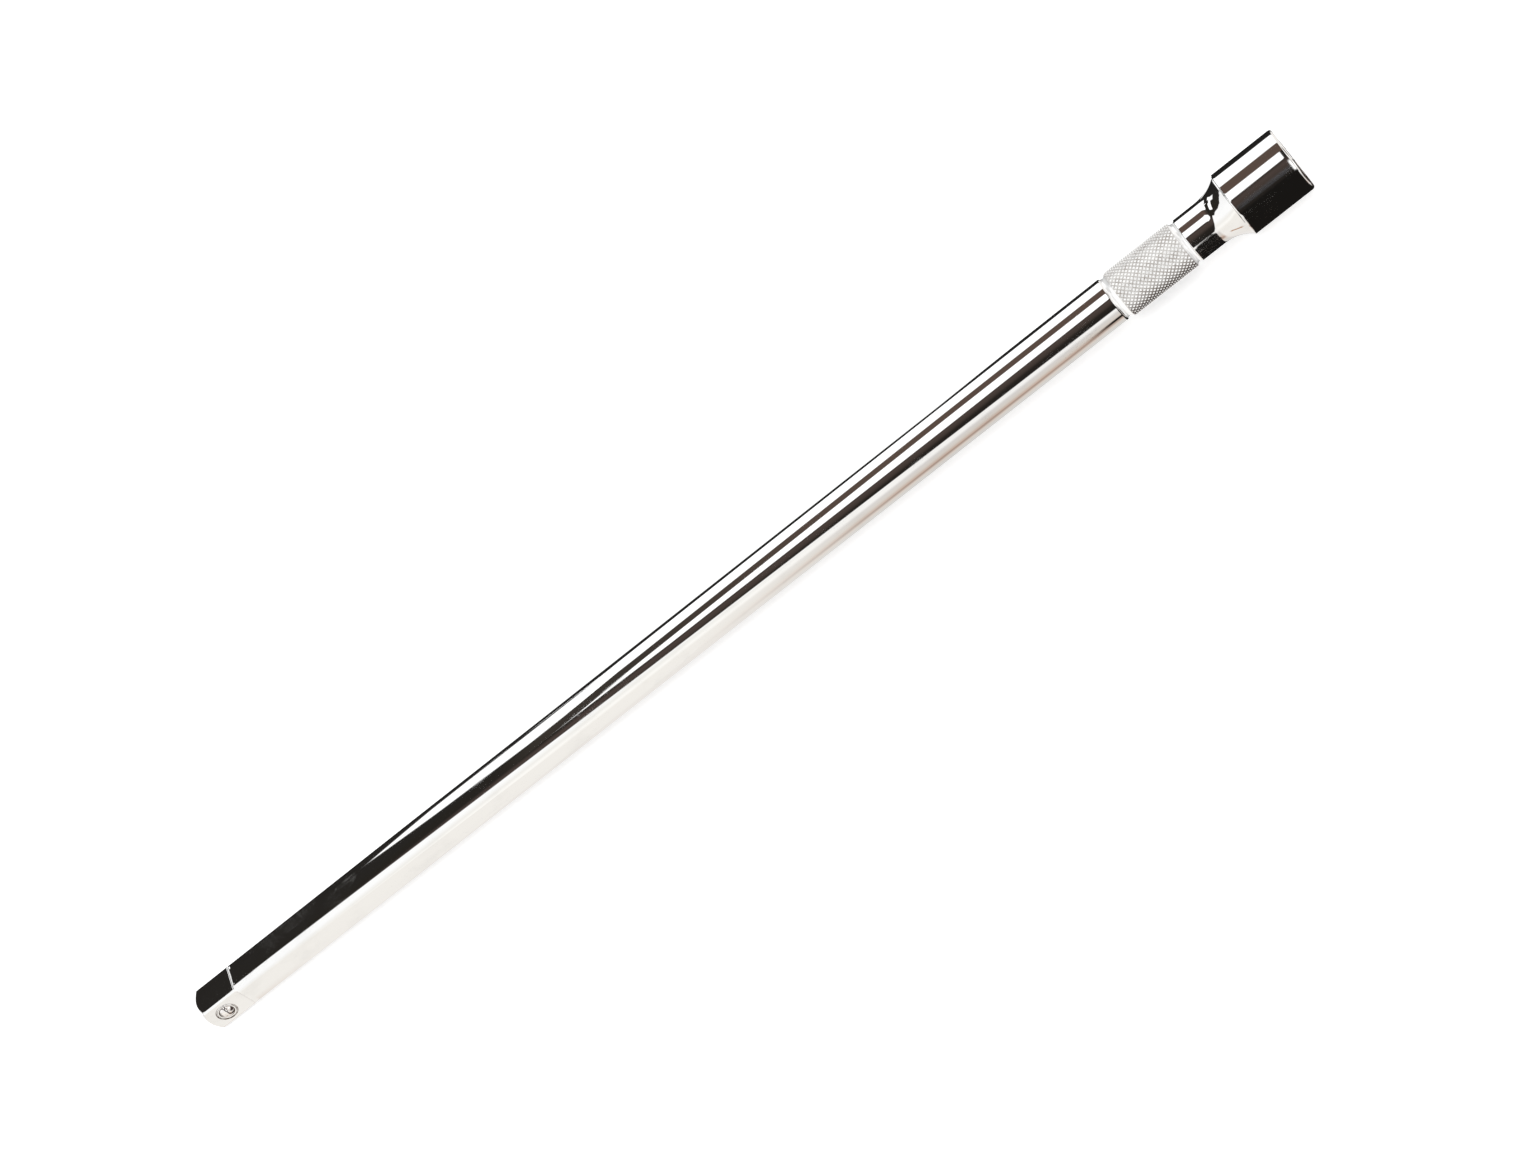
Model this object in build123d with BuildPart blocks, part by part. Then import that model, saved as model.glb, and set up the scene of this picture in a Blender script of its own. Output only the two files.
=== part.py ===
from build123d import *
import os
from math import acos, cos, degrees, radians, sin, sqrt, tan

# Half-inch square-drive bar, 500 mm long. One end has a male drive square with a sprung
# ball, and the other a socket head with a female drive square.
#
# Frame: the origin is the centre of the drive square's end. +X runs along the bar's axis to
# the socket head and +Z is up. The flats face +-Y and +-Z, and the ball is in the -Y flat.
#
# The bar itself is one forging. Its four sections, drive_end, shank, knurled_band and
# socket_head, meet face to face and are solid with each other.

os.makedirs("parts", exist_ok=True)

# Whole bar
overall_length = 500.0
shank_radius = 8.6
drive_end_length = 40.0

# Male drive square
square_across_flats = 12.7
square_corner_radius = 8.45
square_length = 18.1
square_end_radius = 6.0
end_cone_length = 1.65
shoulder_fillet = 1.5

# Long flats that square the drive half of the shank and run out towards its middle
long_flat_at_shoulder = 7.24
long_flat_length = 214.6

# Knurled band between two round-bottomed relief grooves
knurl_length = 28.6
knurl_radius = 9.2
knurl_shank_lead = 1.4
knurl_neck_lead = 0.7
groove_width = 1.7
groove_depth = 0.6
groove_edge = 0.25

# Socket head, with the neck and the flare that lead to it
head_radius = 12.65
head_length = 25.6
head_front_edge = 1.0
head_back_edge = 0.5
flare_radius = 15.6
flare_angle = 35.0
neck_length = 9.49

# Female drive square
socket_across_flats = 12.85
socket_corner = 0.6
socket_depth = 16.5
countersink_radius = 7.9
pilot_radius = 6.55
pilot_depth = 19.0
drill_point_half_angle = 59.0
recess_radius = 3.0
recess_depth = 0.9
recess_from_mouth = 8.0

# Ball and the bore that holds it
ball_radius = 3.175
ball_from_end = 8.0
ball_stand_out = 1.6
ball_clearance = 0.04
ball_mouth_radius = 2.86
bore_floor = 3.0
stake_radius = 3.85
stake_half_width = 0.35
stake_depth = 0.3

# Spring behind the ball
spring_mean_radius = 2.2
spring_wire_radius = 0.3
spring_turns = 5.0
spring_end_gap = 0.02

# Places along the bar's axis
square_flat = square_across_flats / 2
long_flat_end = square_length + long_flat_length
head_back = overall_length - head_length
flare_end_radius = head_radius - head_back_edge
flare_arc_length = flare_radius * sin(radians(flare_angle))
flare_arc_rise = flare_radius * (1 - cos(radians(flare_angle)))
flare_cone_rise = flare_end_radius - shank_radius - flare_arc_rise
flare_start = head_back - flare_arc_length - flare_cone_rise / tan(radians(flare_angle))
neck_start = flare_start - neck_length
knurl_end = neck_start - groove_width
knurl_start = knurl_end - knurl_length
shank_end = knurl_start - groove_width
pilot_end = overall_length - pilot_depth
pilot_point = pilot_radius / tan(radians(drill_point_half_angle))

# Places along the ball's axis, the line X = ball_from_end, Z = 0
ball_y = ball_radius - ball_stand_out - square_flat
bore_radius = ball_radius + ball_clearance
bore_point = bore_radius / tan(radians(drill_point_half_angle))
seat_angle = degrees(acos(ball_mouth_radius / bore_radius))
wire_to_ball = ball_radius + spring_wire_radius
spring_top = ball_y + sqrt(wire_to_ball**2 - spring_mean_radius**2) + spring_end_gap
wire_to_cone = spring_wire_radius / sin(radians(drill_point_half_angle))
cone_depth_at_wire = (bore_radius - spring_mean_radius) / tan(radians(drill_point_half_angle))
spring_bottom = bore_floor + cone_depth_at_wire - wire_to_cone - spring_end_gap

clear_of_bar = 2 * head_radius
four_sides = range(0, 360, 90)
ball_plane = Plane(origin=(ball_from_end, 0, 0), x_dir=(1, 0, 0), z_dir=(0, 0, 1))
ball_axis = Axis((ball_from_end, 0, 0), (0, 1, 0))


def side_plane(turn):
    """Plane through the bar's axis whose X is that axis and whose Y points out of one side."""
    along = Vector(1, 0, 0)
    outward = Vector(0, cos(radians(turn)), sin(radians(turn)))
    return Plane(origin=(0, 0, 0), x_dir=along, z_dir=along.cross(outward))


def square_flat_cut(turn):
    """What is milled off one side of the drive square, with the cutter's radius at the shoulder."""
    with BuildSketch(side_plane(turn)) as cut:
        with BuildLine():
            arc_start = (square_length - shoulder_fillet, square_flat)
            shoulder = JernArc(arc_start, (1, 0), shoulder_fillet, 90)
            Polyline(
                shoulder @ 1,
                (square_length, clear_of_bar),
                (-1, clear_of_bar),
                (-1, square_flat),
                arc_start,
            )
        make_face()
    return cut.sketch


def long_flat_cut(turn):
    """What is ground off one side of the shank: nothing at the flat's end, most at the shoulder."""
    with BuildSketch(side_plane(turn)) as cut:
        with BuildLine():
            Polyline(
                (square_length - shoulder_fillet, long_flat_at_shoulder),
                (square_length, long_flat_at_shoulder),
                (long_flat_end, shank_radius),
                (long_flat_end, clear_of_bar),
                (square_length - shoulder_fillet, clear_of_bar),
                close=True,
            )
        make_face()
    return cut.sketch


def corner_radius_at(x):
    """Distance of the squared shank's corners from the axis, from the shoulder to the flats' end."""
    share = (x - square_length) / long_flat_length
    return square_corner_radius + share * (shank_radius - square_corner_radius)


# ---------------------------------------------------------------- drive end
with BuildPart() as drive_end:
    # Turned blank: the end cone, then the radius of the square's corners
    with BuildSketch(Plane.XY):
        with BuildLine():
            Polyline(
                (0, 0),
                (0, square_end_radius),
                (end_cone_length, square_corner_radius),
                (square_length, square_corner_radius),
                (drive_end_length, corner_radius_at(drive_end_length)),
                (drive_end_length, 0),
                close=True,
            )
        make_face()
    revolve(axis=Axis.X)
    for turn in four_sides:
        extrude(square_flat_cut(turn), amount=clear_of_bar, both=True, mode=Mode.SUBTRACT)
        extrude(long_flat_cut(turn), amount=clear_of_bar, both=True, mode=Mode.SUBTRACT)

    # Blind bore for the spring and ball, whose rim is staked in over the ball
    with BuildSketch(ball_plane):
        with BuildLine():
            seat = CenterArc((0, ball_y), bore_radius, 0, -seat_angle)
            Polyline(
                seat @ 1,
                (ball_mouth_radius, -clear_of_bar),
                (0, -clear_of_bar),
                (0, bore_floor + bore_point),
                (bore_radius, bore_floor),
                seat @ 0,
            )
        make_face()
    revolve(axis=ball_axis, mode=Mode.SUBTRACT)

    # Ring that the staking punch left round the rim
    with BuildSketch(ball_plane):
        with BuildLine():
            inner = (stake_radius - stake_half_width, -square_flat)
            outer = (stake_radius + stake_half_width, -square_flat)
            ThreePointArc(inner, (stake_radius, stake_depth - square_flat), outer)
            Polyline(outer, (stake_radius, -square_flat - stake_depth), inner)
        make_face()
    revolve(axis=ball_axis, mode=Mode.SUBTRACT)
drive_end.part.label = "drive_end"
export_step(drive_end.part, "parts/drive_end.step")


# ---------------------------------------------------------------- shank
with BuildPart() as shank:
    with BuildSketch(Plane.XY):
        with BuildLine():
            Polyline(
                (drive_end_length, 0),
                (drive_end_length, corner_radius_at(drive_end_length)),
                (long_flat_end, shank_radius),
                (shank_end - groove_edge, shank_radius),
                (shank_end, shank_radius - groove_edge),
                (shank_end, 0),
                close=True,
            )
        make_face()
    revolve(axis=Axis.X)
    for turn in four_sides:
        extrude(long_flat_cut(turn), amount=clear_of_bar, both=True, mode=Mode.SUBTRACT)
shank.part.label = "shank"
export_step(shank.part, "parts/shank.step")


# ---------------------------------------------------------------- knurled band
# The band's chamfered cylinder is at the radius of the knurl's tips.
with BuildPart() as knurled_band:
    with BuildSketch(Plane.XY):
        with BuildLine():
            edge_radius = shank_radius - groove_edge
            floor_radius = shank_radius - groove_depth
            ThreePointArc(
                (shank_end, edge_radius),
                (shank_end + groove_width / 2, floor_radius),
                (knurl_start, edge_radius),
            )
            Polyline(
                (knurl_start, edge_radius),
                (knurl_start + knurl_shank_lead, knurl_radius),
                (knurl_end - knurl_neck_lead, knurl_radius),
                (knurl_end, edge_radius),
            )
            ThreePointArc(
                (knurl_end, edge_radius),
                (knurl_end + groove_width / 2, floor_radius),
                (neck_start, edge_radius),
            )
            Polyline((neck_start, edge_radius), (neck_start, 0), (shank_end, 0), (shank_end, edge_radius))
        make_face()
    revolve(axis=Axis.X)
knurled_band.part.label = "knurled_band"
export_step(knurled_band.part, "parts/knurled_band.step")


# ---------------------------------------------------------------- socket head
with BuildPart() as socket_head:
    # Neck, hollow-curved flare and cylindrical head
    with BuildSketch(Plane.XY):
        with BuildLine():
            flare = JernArc((flare_start, shank_radius), (1, 0), flare_radius, flare_angle)
            back_edge = JernArc((head_back, flare_end_radius), (0, 1), head_back_edge, -90)
            front_edge = JernArc(
                (overall_length - head_front_edge, head_radius), (1, 0), head_front_edge, -90
            )
            Line(flare @ 1, back_edge @ 0)
            Line(back_edge @ 1, front_edge @ 0)
            Polyline(
                front_edge @ 1,
                (overall_length, 0),
                (neck_start, 0),
                (neck_start, shank_radius - groove_edge),
                (neck_start + groove_edge, shank_radius),
                flare @ 0,
            )
        make_face()
    revolve(axis=Axis.X)

    # Pilot hole with a countersunk mouth
    with BuildSketch(Plane.XY):
        with BuildLine():
            Polyline(
                (overall_length, 0),
                (overall_length, countersink_radius),
                (overall_length - countersink_radius + pilot_radius, pilot_radius),
                (pilot_end, pilot_radius),
                (pilot_end - pilot_point, 0),
                close=True,
            )
        make_face()
    revolve(axis=Axis.X, mode=Mode.SUBTRACT)

    # Broached square, with a recess in each wall for the driving tool's ball
    with BuildSketch(Plane.YZ.offset(overall_length)):
        RectangleRounded(socket_across_flats, socket_across_flats, socket_corner)
    extrude(amount=-socket_depth, mode=Mode.SUBTRACT)
    with Locations(Plane.YZ.offset(overall_length - recess_from_mouth)):
        with PolarLocations(socket_across_flats / 2 + recess_depth - recess_radius, 4):
            Sphere(recess_radius, mode=Mode.SUBTRACT)
socket_head.part.label = "socket_head"
export_step(socket_head.part, "parts/socket_head.step")


# ---------------------------------------------------------------- detent ball
with BuildPart() as detent_ball:
    with Locations((ball_from_end, ball_y, 0)):
        Sphere(ball_radius)
detent_ball.part.label = "detent_ball"
export_step(detent_ball.part, "parts/detent_ball.step")


# ---------------------------------------------------------------- detent spring
# Compression spring between the ball and the cone at the bottom of the bore
with BuildPart() as detent_spring:
    with BuildLine():
        coil = Helix(
            pitch=(spring_bottom - spring_top) / spring_turns,
            height=spring_bottom - spring_top,
            radius=spring_mean_radius,
            center=(ball_from_end, spring_top, 0),
            direction=(0, 1, 0),
        )
    with BuildSketch(Plane(origin=coil @ 0, z_dir=coil % 0)):
        Circle(spring_wire_radius)
    sweep(path=coil, is_frenet=True)
detent_spring.part.label = "detent_spring"
export_step(detent_spring.part, "parts/detent_spring.step")
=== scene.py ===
from math import acos, asin, atan2, cos, pi, radians, sin, sqrt, tan

import bmesh
import bpy
from mathutils import Matrix, Vector


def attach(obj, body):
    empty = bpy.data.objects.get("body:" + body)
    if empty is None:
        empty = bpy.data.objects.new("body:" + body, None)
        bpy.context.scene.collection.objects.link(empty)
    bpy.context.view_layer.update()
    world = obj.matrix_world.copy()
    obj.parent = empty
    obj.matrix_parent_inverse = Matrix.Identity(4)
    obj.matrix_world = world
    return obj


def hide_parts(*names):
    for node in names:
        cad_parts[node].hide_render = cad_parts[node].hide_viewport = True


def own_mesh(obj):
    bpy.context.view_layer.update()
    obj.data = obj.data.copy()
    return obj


# Half-inch square-drive bar: one chrome-plated forging with a drive square and sprung ball at one
# end and a female drive socket at the other. Lengths are in millimetres until a mesh is made.
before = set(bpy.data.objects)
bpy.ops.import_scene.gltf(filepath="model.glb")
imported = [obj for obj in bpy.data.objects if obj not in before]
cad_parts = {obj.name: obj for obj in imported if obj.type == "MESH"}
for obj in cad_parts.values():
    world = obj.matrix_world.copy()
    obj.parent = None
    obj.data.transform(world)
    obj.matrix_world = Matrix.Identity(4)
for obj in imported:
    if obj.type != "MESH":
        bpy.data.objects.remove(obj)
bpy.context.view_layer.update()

MM = 0.001

# Bar along X, measured from the drive end
BAR_LENGTH = 500.0
SHANK_RADIUS = 8.6
TANG_FLAT = 6.35
TANG_CORNER_RADIUS = 8.45
TANG_LENGTH = 18.1
TANG_END_RADIUS = 6.0
TANG_END_CONE = 1.65
SHOULDER_RADIUS = 1.5
LONG_FLAT_AT_SHOULDER = 7.24
LONG_FLAT_END = 232.7
SHANK_END = 422.92
KNURL_START = 424.62
KNURL_END = 453.22
NECK_START = 454.92
GROOVE_EDGE = 0.25
GROOVE_DEPTH = 0.6
# Rounded lip of a relief groove: (distance from the groove, drop below the shank)
GROOVE_LIP = ((0.0, GROOVE_EDGE), (0.06, 0.19), (0.20, 0.06), (0.30, 0.012))

# Ball and its bore, along Y
BALL_X = 8.0
BALL_Y = -4.775
BALL_RADIUS = 3.175
BORE_RADIUS = 3.215
BORE_MOUTH_RADIUS = 2.86
BORE_FLOOR = 3.0
DRILL_HALF_ANGLE = radians(59)
STAKE_RADIUS = 3.85
STAKE_HALF_WIDTH = 0.35
STAKE_DEPTH = 0.3

# Socket head
HEAD_RADIUS = 12.643
HEAD_BACK = 474.4
HEAD_FRONT_EDGE = 1.0
HEAD_BACK_EDGE = 0.5
HEAD_EASE = 1.6
HEAD_EASE_RADIUS = 40.0
FLARE_RADIUS = 15.6
FLARE_ANGLE = radians(35)
SOCKET_HALF = 6.425
SOCKET_CORNER = 0.6
SOCKET_FLOOR = 483.5
COUNTERSINK_RADIUS = 7.9
PILOT_RADIUS = 6.55
PILOT_END = 481.0
RECESS_X = 492.0
RECESS_RADIUS = 3.0
RECESS_DEPTH = 0.9

QUARTER_TURN = pi / 2
# Cosine and sine of each quarter turn
QUARTERS = ((1, 0), (0, 1), (-1, 0), (0, -1))


class Skin:
    """Points and faces of one closed skin, gathered in millimetres."""

    def __init__(self):
        self.points = []
        self.faces = []

    def ring(self, points):
        """Adds a row of points and returns their numbers."""
        first = len(self.points)
        self.points.extend(points)
        return list(range(first, len(self.points)))

    def band(self, ring_a, ring_b, skip=()):
        """Joins two closed rings of as many points with quads, leaving out the numbered ones."""
        count = len(ring_a)
        for i in range(count):
            if i in skip:
                continue
            j = (i + 1) % count
            self.faces.append((ring_a[i], ring_a[j], ring_b[j], ring_b[i]))

    def cap(self, ring, centre):
        """Closes a ring with triangles to a centre point."""
        middle = self.ring([centre])[0]
        count = len(ring)
        for i in range(count):
            self.faces.append((ring[i], ring[(i + 1) % count], middle))


def finish_mesh(name, skin, sharp_degrees=30):
    """Makes the mesh object: metres, outward faces, smooth shading that keeps the flats flat."""
    mesh = bpy.data.meshes.new(name)
    mesh.from_pydata([(x * MM, y * MM, z * MM) for x, y, z in skin.points], [], skin.faces)
    work = bmesh.new()
    work.from_mesh(mesh)
    bmesh.ops.remove_doubles(work, verts=work.verts, dist=1e-6)
    bmesh.ops.dissolve_degenerate(work, edges=work.edges, dist=1e-7)
    bmesh.ops.recalc_face_normals(work, faces=work.faces)
    for face in work.faces:
        face.smooth = True
    work.to_mesh(mesh)
    work.free()
    piece = bpy.data.objects.new(name, mesh)
    bpy.context.scene.collection.objects.link(piece)
    mesh.set_sharp_from_angle(angle=radians(sharp_degrees))
    weighted = piece.modifiers.new("even_shading", "WEIGHTED_NORMAL")
    weighted.keep_sharp = True
    weighted.weight = 90
    bpy.context.view_layer.objects.active = piece
    with bpy.context.temp_override(object=piece, active_object=piece):
        bpy.ops.object.modifier_apply(modifier=weighted.name)
    return piece


# ---------------------------------------------------------------- drive end and shank

FLAT_STEPS = 24
EDGE_STEPS = 4
ARC_STEPS = 32
CONE_STEPS = 14
HOLLOW_STEPS = 14
HOLLOW_TURN = radians(60)
RUN_OUT_STEPS = 40
HALVINGS = 40
ROUND_STEPS = 8

# Radii that soften the flats' long edges, and that crown the flats across
TANG_EDGE = 0.3
LONG_EDGE = 0.6
TANG_CROWN = 4000.0
LONG_CROWN = 100.0
# A flat this far out misses the bar, so the section is a full circle
NO_FLAT = 9.0

# Stretch of the drive square that the ball's bore is cut into, and the first ring round the bore
PATCH_RINGS = 24
PATCH_HALF = 4.75
PATCH_RADIUS = 4.3


def squared_section(corner_radius, flat, edge_radius, crown_radius):
    """(y, z) points round a circle with four slightly crowned flats and softened edges.

    The row starts in the middle of the +Y flat's arc towards +Z and goes once round.
    """
    crown_centre = flat - crown_radius
    blend_out = corner_radius - edge_radius
    blend_crown = crown_radius - edge_radius
    along = (crown_centre**2 - blend_crown**2 + blend_out**2) / (2 * crown_centre)
    if along >= blend_out:
        along, across, flat_turn, arc_turn = corner_radius, 0.0, 0.0, 0.0
    else:
        across = sqrt(blend_out**2 - along**2)
        flat_turn = atan2(across, along - crown_centre)
        arc_turn = atan2(across, along)
    side = []
    for k in range(FLAT_STEPS + 1):
        turn = flat_turn * (2 * k / FLAT_STEPS - 1)
        if across == 0:
            side.append((corner_radius, 0.0))
        else:
            side.append((crown_centre + crown_radius * cos(turn), crown_radius * sin(turn)))
    for k in range(1, EDGE_STEPS + 1):
        turn = flat_turn + (arc_turn - flat_turn) * k / EDGE_STEPS
        if across == 0:
            side.append((corner_radius, 0.0))
        else:
            side.append((along + edge_radius * cos(turn), across + edge_radius * sin(turn)))
    for k in range(1, ARC_STEPS):
        turn = arc_turn + (QUARTER_TURN - 2 * arc_turn) * k / ARC_STEPS
        side.append((corner_radius * cos(turn), corner_radius * sin(turn)))
    for k in range(EDGE_STEPS, 0, -1):
        turn = flat_turn + (arc_turn - flat_turn) * k / EDGE_STEPS
        if across == 0:
            side.append((0.0, corner_radius))
        else:
            side.append((across + edge_radius * sin(turn), along + edge_radius * cos(turn)))
    points = []
    for c, s in QUARTERS:
        points.extend((y * c - z * s, y * s + z * c) for y, z in side)
    return points


def corner_radius_at(x):
    """Radius over the squared shank's corners."""
    share = (x - TANG_LENGTH) / (LONG_FLAT_END - TANG_LENGTH)
    return TANG_CORNER_RADIUS + share * (SHANK_RADIUS - TANG_CORNER_RADIUS)


def long_flat_at(x):
    """Distance of a long flat from the axis."""
    share = (x - TANG_LENGTH) / (LONG_FLAT_END - TANG_LENGTH)
    return LONG_FLAT_AT_SHOULDER + share * (SHANK_RADIUS - LONG_FLAT_AT_SHOULDER)


def shaft_stations():
    """(x, corner radius, flat, edge radius, crown radius) from the drive end to the groove."""
    rows = []

    def tang(x, corner_radius, flat):
        rows.append((x, corner_radius, flat, TANG_EDGE, TANG_CROWN))

    def shank(x, corner_radius, flat):
        rows.append((x, corner_radius, flat, LONG_EDGE, LONG_CROWN))

    # End face's rounded rim and the end cone
    for x, change in ((0.0, -0.28), (0.03, -0.10), (0.10, 0.09)):
        tang(x, TANG_END_RADIUS + change, NO_FLAT)
    slope = (TANG_CORNER_RADIUS - TANG_END_RADIUS) / TANG_END_CONE
    flat_begin = (TANG_FLAT - TANG_END_RADIUS) / slope
    for k in range(CONE_STEPS + 1):
        share = (k / CONE_STEPS) ** 1.6
        x = flat_begin + (TANG_END_CONE - 0.12 - flat_begin) * share
        tang(x, TANG_END_RADIUS + x * slope, TANG_FLAT)
    for past_cone, change in ((-0.04, -0.08), (0.03, -0.025), (0.14, 0.0)):
        tang(TANG_END_CONE + past_cone, TANG_CORNER_RADIUS + change, TANG_FLAT)
    # Stretch that the ball's bore is cut into
    for k in range(PATCH_RINGS + 1):
        x = BALL_X - PATCH_HALF + 2 * PATCH_HALF * k / PATCH_RINGS
        tang(x, TANG_CORNER_RADIUS, TANG_FLAT)
    # Hollow radius that the cutter left at the shoulder
    arc_start = TANG_LENGTH - SHOULDER_RADIUS
    for k in range(HOLLOW_STEPS + 1):
        turn = HOLLOW_TURN * k / HOLLOW_STEPS
        corner_x = arc_start + SHOULDER_RADIUS * sin(turn)
        corner_flat = TANG_FLAT + SHOULDER_RADIUS * (1 - cos(turn))
        tang(corner_x, TANG_CORNER_RADIUS, corner_flat)
    # Soft convex edge from the hollow to the long flat
    rise = LONG_FLAT_AT_SHOULDER - corner_flat
    for share, height in ((0.30, 0.42), (0.62, 0.76), (1.0, 0.94), (1.6, 0.995)):
        tang(corner_x + rise * share * 0.8, TANG_CORNER_RADIUS, corner_flat + rise * height)
    x = TANG_LENGTH + 0.25
    rows.append((x, corner_radius_at(x), long_flat_at(x), 0.5, LONG_CROWN * 3))
    x = TANG_LENGTH + 0.8
    shank(x, corner_radius_at(x), long_flat_at(x))
    # Squared shank: stations at even steps of the angle that the flats' edges stand at
    start = TANG_LENGTH + 2.0
    first_angle = acos(long_flat_at(start) / corner_radius_at(start))
    for k in range(RUN_OUT_STEPS):
        angle = first_angle * (1 - k / RUN_OUT_STEPS)
        low, high = start, LONG_FLAT_END
        for _ in range(HALVINGS):
            middle = (low + high) / 2
            if long_flat_at(middle) / corner_radius_at(middle) < cos(angle):
                low = middle
            else:
                high = middle
        x = (low + high) / 2
        shank(x, corner_radius_at(x), long_flat_at(x))
    shank(LONG_FLAT_END, SHANK_RADIUS, NO_FLAT)
    # Round shank
    for k in range(1, ROUND_STEPS + 1):
        x = LONG_FLAT_END + (SHANK_END - 0.8 - LONG_FLAT_END) * k / ROUND_STEPS
        shank(x, SHANK_RADIUS, NO_FLAT)
    for back, drop in ((0.40, 0.0), *reversed(GROOVE_LIP)):
        shank(SHANK_END - back, SHANK_RADIUS - drop, NO_FLAT)
    return rows


def ball_bore(skin, rings, first_ring):
    """Cuts the ball's bore into the -Y flat: the stake ring round it, its rim, wall and floor."""
    side = FLAT_STEPS + 2 * EDGE_STEPS + ARC_STEPS
    left = 2 * side + 1
    right = 2 * side + FLAT_STEPS - 1
    last_ring = first_ring + PATCH_RINGS
    skip = set(range(left, right))
    loop = [rings[first_ring][k] for k in range(left, right)]
    loop += [rings[r][right] for r in range(first_ring, last_ring)]
    loop += [rings[last_ring][k] for k in range(right, left, -1)]
    loop += [rings[r][left] for r in range(last_ring, first_ring, -1)]
    count = len(loop)
    x0, _, z0 = skin.points[loop[0]]
    start_turn = atan2(z0, x0 - BALL_X)
    x1, _, z1 = skin.points[loop[1]]
    way = 1 if (x0 - BALL_X) * z1 - z0 * (x1 - BALL_X) > 0 else -1
    # (radius, y) of the rings, from the flat inwards and down to the drill point
    rows = [(PATCH_RADIUS, -TANG_FLAT)]
    groove_radius = (STAKE_HALF_WIDTH**2 + STAKE_DEPTH**2) / (2 * STAKE_DEPTH)
    groove_turn = asin(STAKE_HALF_WIDTH / groove_radius)
    for k in range(9):
        turn = groove_turn * (1 - k / 4)
        depth = groove_radius * cos(turn) - (groove_radius - STAKE_DEPTH)
        rows.append((STAKE_RADIUS + groove_radius * sin(turn), -TANG_FLAT + depth))
    rows += [(3.42, -TANG_FLAT), (3.05, -TANG_FLAT), (2.97, -TANG_FLAT + 0.012)]
    rows += [(2.90, -TANG_FLAT + 0.045), (BORE_MOUTH_RADIUS, -TANG_FLAT + 0.09)]
    seat_turn = acos(BORE_MOUTH_RADIUS / BORE_RADIUS)
    for k in range(9):
        turn = -seat_turn * (1 - k / 8)
        rows.append((BORE_RADIUS * cos(turn), BALL_Y + BORE_RADIUS * sin(turn)))
    rows += [(BORE_RADIUS, -2.0), (BORE_RADIUS, 0.5), (BORE_RADIUS, BORE_FLOOR)]
    point_depth = BORE_RADIUS / tan(DRILL_HALF_ANGLE)
    for share in (0.33, 0.66):
        rows.append((BORE_RADIUS * (1 - share), BORE_FLOOR + point_depth * share))
    outer = loop
    for radius, y in rows:
        turns = [start_turn + way * 2 * pi * k / count for k in range(count)]
        inner = skin.ring([(BALL_X + radius * cos(t), y, radius * sin(t)) for t in turns])
        skin.band(outer, inner)
        outer = inner
    skin.cap(outer, (BALL_X, BORE_FLOOR + point_depth, 0))
    return skip


def make_shaft():
    skin = Skin()
    rows = shaft_stations()
    rings = []
    for x, corner_radius, flat, edge_radius, crown_radius in rows:
        section = squared_section(corner_radius, flat, edge_radius, crown_radius)
        rings.append(skin.ring([(x, y, z) for y, z in section]))
    patch_x = BALL_X - PATCH_HALF
    first = min(range(len(rows)), key=lambda i: abs(rows[i][0] - patch_x))
    skip = ball_bore(skin, rings, first)
    for i in range(len(rings) - 1):
        inside = first <= i < first + PATCH_RINGS
        skin.band(rings[i], rings[i + 1], skip if inside else ())
    skin.cap(rings[0], (0, 0, 0))
    skin.cap(rings[-1], (SHANK_END, 0, 0))
    return finish_mesh("shaft_and_drive_square", skin)


# ---------------------------------------------------------------- socket head

CHANNEL_STEPS = 6
WALL_STEPS = 8
CORNER_STEPS = 6
HEAD_STEPS = 8 * (CHANNEL_STEPS + WALL_STEPS + CORNER_STEPS)


# Distance from the groove to the neck's full radius, and the rings on the end face
NECK_LEAD = 0.45
END_FACE_RADII = (11.4, 10.2)
# Half the length of wall that each recess for the driving ball is sunk into
RECESS_PATCH_HALF = 3.4


def circle(x, radius, count):
    turns = [2 * pi * k / count for k in range(count)]
    return [(x, radius * cos(turn), radius * sin(turn)) for turn in turns]


def hole_section(x, circle_radius):
    """The female square at x, widened in the middle of each wall by a circle."""
    channel_turn = acos(SOCKET_HALF / circle_radius)
    wall_start = circle_radius * sin(channel_turn)
    wall_end = SOCKET_HALF - SOCKET_CORNER
    octant = []
    for k in range(CHANNEL_STEPS):
        turn = channel_turn * k / CHANNEL_STEPS
        octant.append((circle_radius * cos(turn), circle_radius * sin(turn)))
    for k in range(WALL_STEPS):
        octant.append((SOCKET_HALF, wall_start + (wall_end - wall_start) * k / WALL_STEPS))
    for k in range(CORNER_STEPS):
        turn = QUARTER_TURN / 2 * k / CORNER_STEPS
        octant.append((wall_end + SOCKET_CORNER * cos(turn), wall_end + SOCKET_CORNER * sin(turn)))
    corner = wall_end + SOCKET_CORNER * cos(QUARTER_TURN / 2)
    quarter = octant + [(corner, corner)] + [(z, y) for y, z in reversed(octant[1:])]
    points = []
    for c, s in QUARTERS:
        points.extend((x, y * c - z * s, y * s + z * c) for y, z in quarter)
    return points


def wall_height(across):
    """Distance of a socket wall from the axis, with the pilot drill's shallow channel."""
    return max(SOCKET_HALF, sqrt(max(0.0, PILOT_RADIUS**2 - across**2)))


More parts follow.
